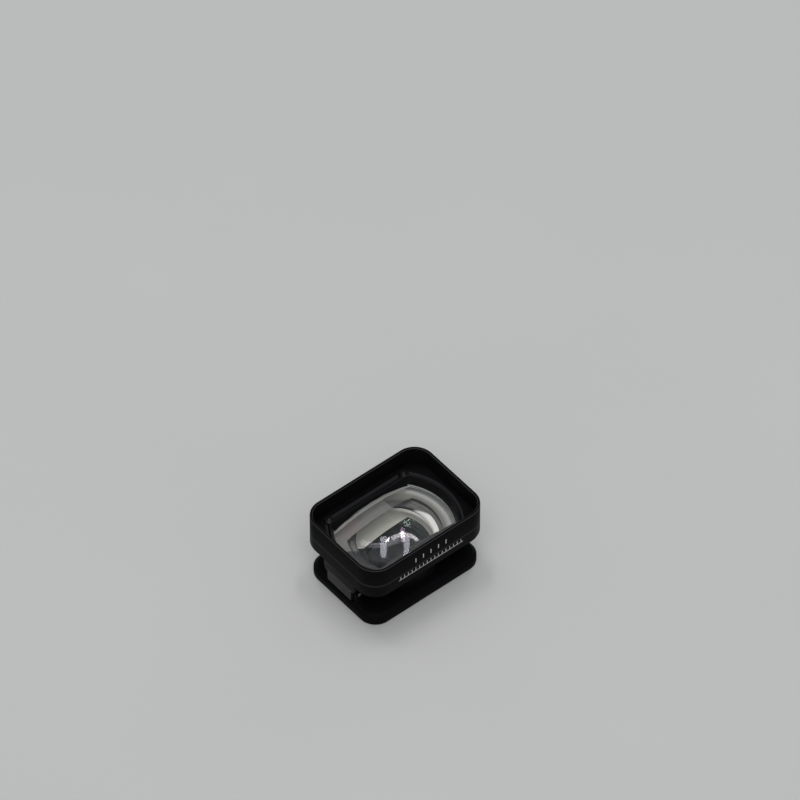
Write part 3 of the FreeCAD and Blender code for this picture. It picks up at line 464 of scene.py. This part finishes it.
def ground_ends(name):
    """Ground round ends and rear rim of the front element, seen through its front as painted bands that
    include painted highlights.

    The bands run outwards over the rear face and on up the round ends. The near side of the rear face is
    painted dark as shade.
    """
    made = Finish(name)
    along, across, height = made.axes()
    radius = radius_of(along, across)
    outward = radius + (height - GLASS_FOOT) * radius.above(ROUND_END)
    cloud = made.noise(0.9)
    level = (outward - RINGS_FROM) * (1 / RINGS_SPAN) + (cloud - 0.5) * 0.02
    # The stops paint the bands as they show through the front, with painted highlights at the brightest
    # stops, near 0.4 and at the outer end.
    stops = [(0.0, (0.055, 0.054, 0.052)), (0.08, (0.12, 0.119, 0.11)), (0.29, (0.19, 0.187, 0.175)),
             (0.31, (0.27, 0.268, 0.255)), (0.35, (0.31, 0.308, 0.295)), (0.4, (0.42, 0.42, 0.41)),
             (0.43, (0.36, 0.36, 0.355)), (0.46, (0.2, 0.205, 0.2)), (0.51, (0.17, 0.175, 0.175)),
             (0.57, (0.12, 0.13, 0.14)), (0.59, (0.32, 0.325, 0.32)), (0.63, (0.32, 0.325, 0.32)),
             (0.66, (0.12, 0.13, 0.14)), (0.9, (0.11, 0.12, 0.135)), (0.965, (0.75, 0.76, 0.75))]
    face = made.node("ShaderNodeValToRGB", {"stops": stops}, {0: level})
    face = made.blend((0.0 - along - EVEN_END) * EVEN_PASS, face, (0.16, 0.16, 0.152))
    rear_face = height.below(GLASS_FOOT + 1)
    around = along * across.sign()
    panel = across.size().above(GROUND_FLAT) * around.within(PANEL_FROM, PANEL_TO) * rear_face
    rosy = (0.0 - around).above(PANEL_ROSY) * made.noise(3.0)
    face = made.blend(panel, face, made.blend(rosy, (0.145, 0.148, 0.141), (0.18, 0.14, 0.135)))
    # Painted shade: the rear face is painted near black on the near side and beyond the near flat.
    near = (1.0 - made.painted_lit_side(LIT_REAR)) + across.below(-GROUND_FLAT)
    face = made.blend(near * rear_face, face, (0.02, 0.019, 0.022))
    normal = made.bump(made.noise(0.05, 2.0), 0.004, 0.6)
    return made.finish(made.surface(Base_Color=face, Roughness=0.55, Normal=normal))


def ground_flats(name):
    """Ground flat sides of the front element, brighter below, with small chips along the foot."""
    made = Finish(name)
    _, _, height = made.axes()
    cloud = made.noise(3.0)
    face = made.blend(cloud, (0.46, 0.475, 0.47), (0.54, 0.545, 0.54))
    face = made.blend((GLASS_FOOT + BRIGHT_FOOT - height) * BRIGHT_PASS, face, (0.8, 0.81, 0.79))
    chips = made.noise(0.22, 1.0).above(0.58) * height.below(GLASS_FOOT + 0.35)
    face = made.blend(chips * 0.7, face, (0.9, 0.9, 0.89))
    normal = made.bump(made.noise(0.06, 2.0), 0.004, 0.6)
    return made.finish(made.surface(Base_Color=face, Roughness=0.55, Normal=normal))


def ground_foot(name):
    """Ground rear rim of the middle pair, darker at its right end but for a painted white highlight along
    its edge.
    """
    made = Finish(name)
    along, across, _ = made.axes()
    radius = radius_of(along, across)
    cloud = made.noise(1.3)
    inner = made.blend(cloud, (0.36, 0.366, 0.335), (0.42, 0.395, 0.36))
    inner = made.blend((along - FOOT_DARKENS) * SOFT_PASS, inner, (0.2, 0.194, 0.18))
    # Painted highlight: the rim's outer edge is painted white towards the right end.
    edge = made.blend((along - FOOT_WHITENS) * SOFT_PASS, inner, (0.96, 0.95, 0.92))
    face = made.blend((radius - FOOT_EDGE) * SHARP_PASS, inner, edge)
    return made.finish(made.surface(Base_Color=face, Roughness=0.5))


def ground_edge(name, shade):
    """Ground and blackened edge of an inner element, with a painted white highlight at its right end."""
    made = Finish(name)
    cloud = made.noise(0.8)
    face = made.blend(cloud, (shade, shade, shade * 0.97), (shade * 0.85, shade * 0.86, shade * 0.86))
    along, _, _ = made.axes()
    # Painted highlight: the right end is painted white.
    face = made.blend(along.above(HIGHLIGHT_FROM), face, (0.9, 0.89, 0.87))
    normal = made.bump(made.noise(0.05, 2.0), 0.003, 0.6)
    return made.finish(made.surface(Base_Color=face, Roughness=0.5, Normal=normal))


HOOD_FINISH = blasted_black("blasted_black_hood", True)
FRAME_FINISH = blasted_black("blasted_black_frame", False)
PLATE_FINISH = satin_black("satin_black_plate", 0.0042, 0.16)
BARREL_FINISH = satin_black("satin_black_barrel", 0.005, 0.2)
LEVER_FINISH = satin_black("satin_black_lever", 0.006, 0.3)
BAFFLE_FINISH = baffle_painted_light("baffle_painted_light")
PAINT_FINISH = matt_black("matt_black_paint", 0.006, 0.08, 0.006)
RUBBER_FINISH = matt_black("black_rubber", 0.012, 0.16, 0.012)
SCREW_FINISH = steel("turned_steel", 0.42, 0.05)
PLATE_SCREW_FINISH = steel("blackened_steel", 0.05, 0.05)
PIN_FINISH = steel("ground_steel", 0.62, 0.03)
SPRING_FINISH = steel("rolled_steel", 0.5, 0.09)
FRONT_GLASS = polished_glass("front_glass", (0.985, 0.99, 0.98), (0.36, 0.35, 0.41), 1.62, True)
REAR_FACE = polished_glass("front_glass_rear", (0.985, 0.99, 0.98), (0.12, 0.2, 0.16), 1.62, True)
INNER_GLASS = polished_glass("inner_glass", (0.98, 0.985, 0.98), (0.1, 0.17, 0.15), 1.58, True)
REAR_GLASS = polished_glass("rear_glass", (0.95, 0.97, 0.99), (0.3, 0.16, 0.3), 1.62, False)
REAR_HOLLOW = polished_glass("rear_glass_front", (0.95, 0.97, 0.99), (0.3, 0.16, 0.3), 1.62, False, True)
CEMENT = polished_glass("cemented_glass", (0.99, 0.99, 0.99), (0.01, 0.01, 0.01), 1.01, True)
GROUND_ENDS = ground_ends("ground_round_ends")
GROUND_FLATS = ground_flats("ground_flat_sides")
GROUND_FOOT = ground_foot("ground_rear_rim")
INNER_EDGE = ground_edge("blackened_inner_edge", 0.03)


# Modelling

def select_only(piece):
    bpy.ops.object.select_all(action="DESELECT")
    piece.select_set(True)
    bpy.context.view_layer.objects.active = piece


def edit(piece):
    select_only(piece)
    bpy.ops.object.mode_set(mode="EDIT")


def done():
    bpy.ops.object.mode_set(mode="OBJECT")


def pick_faces(piece, test):
    """Select the faces whose middle and normal pass a test, and stay in edit mode."""
    edit(piece)
    bpy.ops.mesh.select_mode(type="FACE")
    bpy.ops.mesh.select_all(action="DESELECT")
    done()
    for face in piece.data.polygons:
        face.select = test(face.center / MM, face.normal)
    bpy.ops.object.mode_set(mode="EDIT")


def pick_edges(piece, test):
    """Select the edges whose two ends pass a test, and stay in edit mode."""
    edit(piece)
    bpy.ops.mesh.select_mode(type="EDGE")
    bpy.ops.mesh.select_all(action="DESELECT")
    done()
    points = piece.data.vertices
    for edge in piece.data.edges:
        edge.select = test(points[edge.vertices[0]].co / MM, points[edge.vertices[1]].co / MM)
    bpy.ops.object.mode_set(mode="EDIT")


def close(one, two):
    return abs(one - two) < CLOSE


def outwards(piece):
    """Turn every face outwards."""
    edit(piece)
    bpy.ops.mesh.select_all(action="SELECT")
    bpy.ops.mesh.normals_make_consistent(inside=False)
    done()


def block(name, low, high):
    """A box between two corners, with its place in its mesh."""
    bpy.ops.object.select_all(action="DESELECT")
    middle = (Vector(low) + Vector(high)) / 2 * MM
    bpy.ops.mesh.primitive_cube_add(size=1, location=middle)
    piece = bpy.context.object
    piece.name = name
    piece.scale = (Vector(high) - Vector(low)) * MM
    bpy.ops.object.transform_apply(location=True, rotation=True, scale=True)
    return piece


def bevel_picked(width, segments):
    """Round the picked edges and leave edit mode."""
    bpy.ops.mesh.bevel(offset=width * MM, offset_type="OFFSET", segments=segments, profile=0.5,
                       affect="EDGES")
    done()


def stud(name, radius, low, high, sides, x=0.0, y=0.0):
    """A round bar between two heights."""
    bpy.ops.object.select_all(action="DESELECT")
    bpy.ops.mesh.primitive_cylinder_add(vertices=sides, radius=radius * MM, depth=(high - low) * MM,
                                        location=(x * MM, y * MM, (low + high) / 2 * MM))
    piece = bpy.context.object
    piece.name = name
    bpy.ops.object.transform_apply(location=True, rotation=True, scale=True)
    return piece


def trim_flats(piece, flat):
    """Cut a round piece by two flats that run along X, and close the cuts."""
    for side in (1, -1):
        edit(piece)
        bpy.ops.mesh.select_all(action="SELECT")
        bpy.ops.mesh.bisect(plane_co=(0, side * flat * MM, 0), plane_no=(0, side, 0),
                            use_fill=True, clear_outer=True, clear_inner=False)
        done()


def is_rear(_, normal):
    """Whether a face looks to the rear."""
    return normal.z < -0.9


def split_rear(piece, flat):
    """Split the rear face along two lines that run along X."""
    for side in (1, -1):
        pick_faces(piece, is_rear)
        bpy.ops.mesh.bisect(plane_co=(0, side * flat * MM, 0), plane_no=(0, side, 0))
        done()


def radius_at(middle):
    """Distance of a place from the axis."""
    return math.hypot(middle.x, middle.y)


def outside(middle, radius, flat):
    """Whether a place lies outside a truncated circle round the axis."""
    return radius_at(middle) > radius or abs(middle.y) > flat


def paint(piece, finish, test):
    """Give one of its finishes to the faces whose middle and normal pass a test."""
    index = piece.data.materials.find(finish.name)
    for face in piece.data.polygons:
        if test(face.center / MM, face.normal):
            face.material_index = index


def truncated(name, radius, flat, low, high):
    """A round bar with two flats."""
    piece = stud(name, radius, low, high, TURN_STEPS)
    trim_flats(piece, flat)
    return piece


def combine(piece, tool, operation):
    """Add a tool to a piece or take it away, and delete the tool."""
    select_only(piece)
    joined = piece.modifiers.new(operation.lower(), "BOOLEAN")
    joined.operation = operation
    joined.solver = "EXACT"
    joined.object = tool
    bpy.ops.object.modifier_apply(modifier=joined.name)
    bpy.data.objects.remove(tool)


def turned(name, profile):
    """Spin a closed or axis-to-axis profile of radius and height pairs round Z."""
    bpy.ops.object.select_all(action="DESELECT")
    bpy.ops.mesh.primitive_plane_add(size=MM)
    piece = bpy.context.object
    piece.name = name
    bpy.ops.object.mode_set(mode="EDIT")
    bpy.ops.mesh.select_mode(type="VERT")
    bpy.ops.mesh.select_all(action="SELECT")
    bpy.ops.mesh.merge(type="CENTER")
    here = Vector((profile[0][0], 0, profile[0][1]))
    bpy.ops.transform.translate(value=here * MM)
    for radius, height in profile[1:]:
        there = Vector((radius, 0, height))
        bpy.ops.mesh.extrude_vertices_move(TRANSFORM_OT_translate={"value": (there - here) * MM})
        here = there
    bpy.ops.mesh.select_all(action="SELECT")
    bpy.ops.mesh.spin(steps=TURN_STEPS, angle=2 * math.pi, center=(0, 0, 0), axis=(0, 0, 1))
    bpy.ops.mesh.select_all(action="SELECT")
    bpy.ops.mesh.remove_doubles(threshold=MERGE * MM)
    bpy.ops.mesh.normals_make_consistent(inside=False)
    done()
    return piece


def curve(radius, centre, side, start, end):
    """Points of a lens surface whose sphere has its centre at a height on the axis."""
    points = []
    for index in range(CURVE_POINTS + 1):
        out = start + (end - start) * index / CURVE_POINTS
        points.append((out, centre + side * math.sqrt(radius * radius - out * out)))
    return points


def break_edges(piece, width):
    select_only(piece)
    edge = piece.modifiers.new("edges", "BEVEL")
    edge.width = width * MM
    edge.segments = 2
    edge.limit_method = "ANGLE"
    edge.angle_limit = math.radians(SHARP_ANGLE)
    bpy.ops.object.modifier_apply(modifier=edge.name)


def smooth(piece, angle=SHARP_ANGLE):
    select_only(piece)
    bpy.ops.object.shade_smooth_by_angle(angle=math.radians(angle))


def dress(piece, node, body, slot, *finishes):
    """Give a piece its materials, and let it stand for a node."""
    piece.data.materials.clear()
    for finish in finishes:
        piece.data.materials.append(finish)
    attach(piece, body)
    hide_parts(node)


def broken_copy(node, name, width):
    """A node as clean faces, with its sharp edges broken."""
    piece = bpy.data.objects.new(name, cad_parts[node].data.copy())
    bpy.context.scene.collection.objects.link(piece)
    edit(piece)
    bpy.ops.mesh.select_all(action="SELECT")
    bpy.ops.mesh.customdata_custom_splitnormals_clear()
    bpy.ops.mesh.remove_doubles(threshold=MERGE * MM)
    bpy.ops.mesh.dissolve_limited(angle_limit=math.radians(1))
    done()
    break_edges(piece, width)
    smooth(piece)
    return piece


def make_hood():
    """Thin-walled tube with a floor, a chamfered seat for the plate, and the boss behind."""
    half_length, half_width = HOOD_LENGTH / 2, HOOD_WIDTH / 2
    hood = block("hood", (-half_length, -half_width, HOOD_REAR), (half_length, half_width, FRONT_RIM))
    pick_edges(hood, lambda a, b: close(a.x, b.x) and close(a.y, b.y))
    bevel_picked(HOOD_CORNER, CORNER_SEGMENTS)
    pick_faces(hood, lambda middle, normal: normal.z > 0.9)
    bpy.ops.mesh.inset(thickness=HOOD_WALL * MM, use_even_offset=True)
    drop = (HOOD_FLOOR - FRONT_RIM) * MM
    bpy.ops.mesh.extrude_region_move(TRANSFORM_OT_translate={"value": (0, 0, drop)})
    done()
    for height, width, segments in ((HOOD_REAR, REAR_BREAK, 2), (FRONT_RIM, RIM_BREAK, 3)):
        pick_edges(hood, lambda a, b: close(a.z, height) and close(b.z, height))
        bevel_picked(width, segments)
    combine(hood, truncated("boss", BOSS_RADIUS, BOSS_FLAT, BOSS_FOOT, HOOD_REAR + PAST), "UNION")
    seat = truncated("seat", SEAT_RADIUS, SEAT_FLAT, SEAT_FOOT, HOOD_FLOOR - SEAT_CHAMFER)
    pick_faces(seat, lambda middle, normal: normal.z > 0.9)
    bpy.ops.mesh.extrude_region_move(TRANSFORM_OT_translate={"value": (0, 0, SEAT_CHAMFER * MM)})
    bpy.ops.transform.resize(value=((SEAT_RADIUS + SEAT_CHAMFER) / SEAT_RADIUS,
                                    (SEAT_FLAT + SEAT_CHAMFER) / SEAT_FLAT, 1))
    bpy.ops.mesh.extrude_region_move(TRANSFORM_OT_translate={"value": (0, 0, PAST * MM)})
    done()
    tools = [seat]
    for along, across in CORNERS:
        tools.append(stud("lobe", LOBE_RADIUS, SEAT_FOOT, HOOD_FLOOR + PAST, LOBE_SIDES,
                          LOBE_ALONG * along, LOBE_ACROSS * across))
    tools.append(truncated("bore", BORE_RADIUS, BORE_FLAT, BORE_FOOT, SEAT_FOOT + PAST_THIN))
    tools.append(truncated("mask", MASK_RADIUS, MASK_FLAT, BOSS_FOOT - PAST_THIN, BORE_FOOT + PAST_THIN))
    for tool in tools:
        combine(hood, tool, "DIFFERENCE")
    smooth(hood, HOOD_SHARP_ANGLE)
    dress(hood, "hood_shell", "lens", "hood_black", HOOD_FINISH)


def make_front_glass():
    """Thick element with round ends and two flat sides, polished front and rear, ground between."""
    centre = GLASS_APEX - GLASS_BOW
    hollow_centre = GLASS_FOOT - math.sqrt(GLASS_HOLLOW ** 2 - GLASS_CLEAR ** 2)
    edge_top = centre + math.sqrt(GLASS_BOW ** 2 - GLASS_RADIUS ** 2)
    profile = curve(GLASS_BOW, centre, 1, 0.0, GLASS_RADIUS - GLASS_BREAK)
    profile += [(GLASS_RADIUS, edge_top - GLASS_BREAK_DROP), (GLASS_RADIUS, GLASS_FOOT)]
    profile += curve(GLASS_HOLLOW, hollow_centre, 1, GLASS_CLEAR, GROUND_RADIUS)
    profile += curve(GLASS_HOLLOW, hollow_centre, 1, GROUND_RADIUS, 0.0)[1:]
    glass = turned("front_lens", profile)
    trim_flats(glass, GLASS_FLAT)
    outwards(glass)
    split_rear(glass, GROUND_FLAT)
    dress(glass, "front_element", "lens", "front_glass", FRONT_GLASS, GROUND_ENDS, GROUND_FLATS,
          REAR_FACE)
    paint(glass, REAR_FACE, is_rear)
    paint(glass, GROUND_ENDS, lambda middle, normal: is_rear(middle, normal)
          and outside(middle, GROUND_RADIUS, GROUND_FLAT))
    paint(glass, GROUND_ENDS, lambda middle, normal: radius_at(middle) > ROUND_END)
    paint(glass, GROUND_FLATS, lambda middle, normal: abs(normal.y) > 0.99
          and abs(middle.y) > GLASS_FLAT - EDGE_MARGIN)
    smooth(glass, GLASS_SHARP_ANGLE)


def finish_rim(piece, radius):
    """Give the turned edge its ground finish, and let only its curves shade smoothly."""
    paint(piece, INNER_EDGE, lambda middle, normal: radius_at(middle) > radius - EDGE_MARGIN
          and abs(normal.z) < 0.5)
    smooth(piece, GLASS_SHARP_ANGLE)


def make_middle_pair():
    """Crown and flint, with the cemented face between them."""
    bow_centre = MIDDLE_APEX - MIDDLE_BOW
    cement_centre = CEMENT_EDGE + math.sqrt(MIDDLE_CEMENT ** 2 - MIDDLE_RADIUS ** 2)
    profile = curve(MIDDLE_BOW, bow_centre, 1, 0.0, MIDDLE_RADIUS)
    profile += curve(MIDDLE_CEMENT, cement_centre, -1, MIDDLE_RADIUS, 0.0)
    crown = turned("middle_lens_front", profile)
    dress(crown, "middle_crown", "lens", "inner_glass", INNER_GLASS, INNER_EDGE, CEMENT)
    paint(crown, CEMENT, lambda middle, normal: normal.z < -0.5)
    finish_rim(crown, MIDDLE_RADIUS)
    profile = curve(MIDDLE_CEMENT, cement_centre - CEMENT_GAP, -1, 0.0, MIDDLE_RADIUS)
    profile += [(MIDDLE_RADIUS, MIDDLE_FOOT), (FOOT_CLEAR, MIDDLE_FOOT), (0.0, MIDDLE_FOOT)]
    flint = turned("middle_lens_rear", profile)
    split_rear(flint, FOOT_FLAT)
    dress(flint, "middle_flint", "lens", "inner_glass", INNER_GLASS, INNER_EDGE, CEMENT, GROUND_FOOT)
    paint(flint, CEMENT, lambda middle, normal: normal.z > 0.5)
    # Painted light and shade: the ground rim is given only on the lit side; on the near side the rim stays
    # clear glass and shows dark.
    paint(flint, GROUND_FOOT, lambda middle, normal: is_rear(middle, normal)
          and middle.x * LOOK_ALONG + middle.y * LOOK_ACROSS > LIT_FOOT
          and outside(middle, FOOT_CLEAR, FOOT_FLAT))
    finish_rim(flint, MIDDLE_RADIUS)


def make_rear_glass():
    """Small element, hollow in front and behind."""
    front_centre = REAR_TOP + math.sqrt(REAR_FRONT_HOLLOW ** 2 - REAR_RADIUS ** 2)
    back_centre = REAR_FOOT - math.sqrt(REAR_BACK_HOLLOW ** 2 - REAR_CLEAR ** 2)
    profile = curve(REAR_FRONT_HOLLOW, front_centre, -1, 0.0, REAR_RADIUS)
    profile += [(REAR_RADIUS, REAR_FOOT)]
    profile += curve(REAR_BACK_HOLLOW, back_centre, 1, REAR_CLEAR, 0.0)
    rear = turned("rear_lens", profile)
    dress(rear, "rear_element", "lens", "rear_glass", REAR_GLASS, INNER_EDGE, REAR_HOLLOW)
    paint(rear, REAR_HOLLOW, lambda middle, normal: normal.z > 0.9)
    finish_rim(rear, REAR_RADIUS)


# Node, name, width of the broken edges in millimetres, body, slot and finish
COPIES = [
    ("front_retaining_plate", "glass_retaining_plate", 0.05, "lens", "plate_black", PLATE_FINISH),
    ("plate_screws", "plate_screw_set", 0.03, "lens", "screw_black", PLATE_SCREW_FINISH),
    ("light_baffle", "baffle_disc", 0.02, "lens", "matt_black", BAFFLE_FINISH),
    ("middle_retaining_ring", "middle_lens_ring", 0.03, "lens", "ring_black", BAFFLE_FINISH),
    ("aperture_stop", "stop_disc", 0.02, "lens", "matt_black", PAINT_FINISH),
    ("rear_barrel", "lens_barrel", 0.05, "lens", "barrel_black", BARREL_FINISH),
    ("rear_retaining_ring", "rear_lens_ring", 0.04, "lens", "ring_black", BARREL_FINISH),
    ("clip_frame", "camera_clip_frame", 0.06, "lens", "frame_black", FRAME_FINISH),
    ("frame_screws", "frame_screw_set", 0.04, "lens", "screw_steel", SCREW_FINISH),
    ("seat_pad", "rubber_seat_pad", 0.05, "lens", "pad_rubber", RUBBER_FINISH),
    ("front_gasket", "glass_gasket", 0.02, "lens", "gasket_rubber", RUBBER_FINISH),
    ("clip_lever_right", "right_clip_lever", 0.05, "right_lever", "lever_black", LEVER_FINISH),
    ("clip_lever_left", "left_clip_lever", 0.05, "left_lever", "lever_black", LEVER_FINISH),
    ("hinge_pin_right", "right_hinge_pin", 0.05, "lens", "pin_steel", PIN_FINISH),
    ("hinge_pin_left", "left_hinge_pin", 0.05, "lens", "pin_steel", PIN_FINISH),
    ("spring_screws", "spring_screw_pair", 0.03, "lens", "screw_steel", SCREW_FINISH),
]


def make_copies():
    """The pieces whose form is all in the solids: each a copy with its edges broken."""
    for node, name, width, body, slot, finish in COPIES:
        dress(broken_copy(node, name, width), node, body, slot, finish)


def finish_springs():
    """The leaf springs keep their own solids and get a rolled finish."""
    for side in ("right", "left"):
        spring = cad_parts["leaf_spring_" + side]
        spring.data.materials.clear()
        spring.data.materials.append(SPRING_FINISH)


# Stage, lights and camera

def make_stage():
    bpy.ops.object.select_all(action="DESELECT")
    bpy.ops.mesh.primitive_plane_add(size=6, location=(0, 0, 0))
    floor = bpy.context.object
    floor.name = "floor"
    made = Finish("pale_floor")
    grey = made.blend(made.noise(60.0), (0.60, 0.60, 0.59), (0.63, 0.63, 0.62))
    floor.data.materials.append(made.finish(made.surface(Base_Color=grey, Roughness=0.9)))


def light(name, place, width, length, watts, run):
    """A flat rectangular lamp that faces the lens, its length along a direction."""
    lamp = bpy.data.lights.new(name, "AREA")
    lamp.shape = "RECTANGLE"
    lamp.size = width
    lamp.size_y = length
    lamp.energy = watts
    holder = bpy.data.objects.new(name, lamp)
    bpy.context.scene.collection.objects.link(holder)
    holder.location = place
    behind = place.normalized()
    along = (run - behind * run.dot(behind)).normalized()
    turn = Matrix((along.cross(behind), along, behind)).transposed()
    holder.rotation_mode = "QUATERNION"
    holder.rotation_quaternion = turn.to_quaternion()


# The camera's angles, and from them the ways back to it, right and up in its picture, and level away
AZIMUTH = math.radians(-39.6)
ELEVATION = math.radians(48.4)
BACK = Vector((math.sin(AZIMUTH) * math.cos(ELEVATION), -math.cos(AZIMUTH) * math.cos(ELEVATION),
               math.sin(ELEVATION)))
RIGHT = Vector((math.cos(AZIMUTH), math.sin(AZIMUTH), 0))
UP = BACK.cross(RIGHT)
AWAY = Vector((-math.sin(AZIMUTH), math.cos(AZIMUTH), 0))

# Places of the lamps in metres. The arc's lamps stand round a middle, by angles in degrees
STRIPS_MIDDLE = AWAY * 0.22 + Vector((0, 0, 0.97))
STRIPS_ASIDE = 0.16
ARC_MIDDLE = Vector((0.25, 0.58, 0.93))
ARC_RADIUS = 0.36
ARC_LAMPS = 9
ARC_START = 266
ARC_STEP = 11.2
BROAD_PLACE = BACK * 1.1 + Vector((0, 0, 0.5))


def make_lights():
    """Ceiling lights that the glass mirrors, a broad soft light, and an even surrounding light."""
    for side in (1, -1):
        light("strip_light", STRIPS_MIDDLE + RIGHT * side * STRIPS_ASIDE, width=0.085, length=0.38,
              watts=1.1, run=AWAY)
    for step in range(ARC_LAMPS):
        angle = math.radians(ARC_START - ARC_STEP * step)
        out = Vector((math.cos(angle), math.sin(angle), 0))
        light("arc_light", ARC_MIDDLE + out * ARC_RADIUS, width=0.09, length=0.08, watts=0.07,
              run=Vector((-out.y, out.x, 0)))
    light("broad_light", BROAD_PLACE, width=0.9, length=0.9, watts=7.0, run=RIGHT)
    world = bpy.data.worlds.new("studio")
    world.use_nodes = True
    world.node_tree.nodes["Background"].inputs["Color"].default_value = (0.94, 0.96, 1.0, 1.0)
    world.node_tree.nodes["Background"].inputs["Strength"].default_value = 0.32
    bpy.context.scene.world = world
    bpy.context.scene.view_settings.view_transform = "Standard"


# The camera's distance in metres, the picture's side in pixels, and where it shows the front rim's middle
DISTANCE = 1.475
PICTURE = 800
RIM_RIGHT = 395.0
RIM_DOWN = 508.6


def make_camera():
    """Camera at the photograph's angle; the middle of the front rim stands below the picture's middle."""
    lens = bpy.data.cameras.new("camera")
    lens.lens = 360
    lens.sensor_width = 36
    lens.clip_start = 0.05
    lens.clip_end = 20
    camera = bpy.data.objects.new("camera", lens)
    bpy.context.scene.collection.objects.link(camera)
    pixels = PICTURE * lens.lens / lens.sensor_width
    aside = (RIM_RIGHT - PICTURE / 2) / pixels * DISTANCE
    above = (PICTURE / 2 - RIM_DOWN) / pixels * DISTANCE
    rim_middle = Vector((0, 0, FRONT_RIM * MM))
    camera.location = rim_middle - RIGHT * aside - UP * above + BACK * DISTANCE
    camera.rotation_mode = "QUATERNION"
    camera.rotation_quaternion = (-BACK).to_track_quat("-Z", "Y")
    bpy.context.scene.camera = camera


make_camera()
make_hood()
make_front_glass()
make_middle_pair()
make_rear_glass()
make_copies()
finish_springs()
make_stage()
make_lights()
